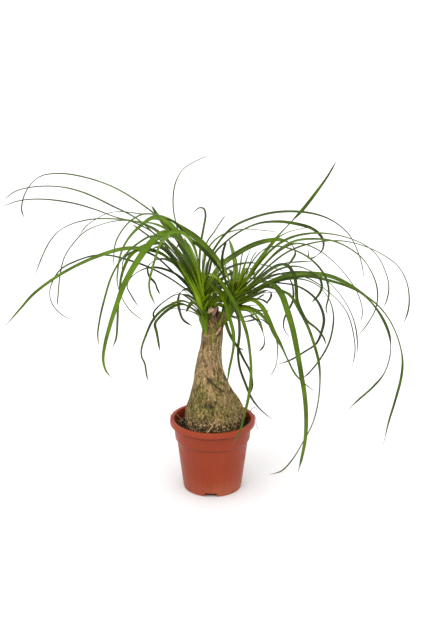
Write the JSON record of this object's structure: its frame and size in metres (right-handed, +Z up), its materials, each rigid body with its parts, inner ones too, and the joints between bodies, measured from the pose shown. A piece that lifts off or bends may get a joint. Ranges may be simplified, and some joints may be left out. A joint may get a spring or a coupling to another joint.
{
  "type": "potted ponytail palm",
  "caption": "Potted ponytail palm with a swollen trunk and long narrow arching leaves in a round terracotta-coloured nursery pot.",
  "frame": {"origin": "centre of the pot's flat underside, on the surface it stands on", "axes": "+Z up, -Y towards the front, +X to the viewer's right; the plant is widest along X"},
  "size_m": [0.5638, 0.3953, 0.4813],
  "materials": {
    "pot_plastic": "satin",
    "soil": "matte",
    "bark": "matte",
    "leaf": "satin"
  },
  "bodies": {
    "root": {"Pot": "pot_plastic", "Soil": "soil", "Trunk": "bark", "Crown_Left": "leaf", "Crown_Right": "leaf"}
  },
  "joints": []
}
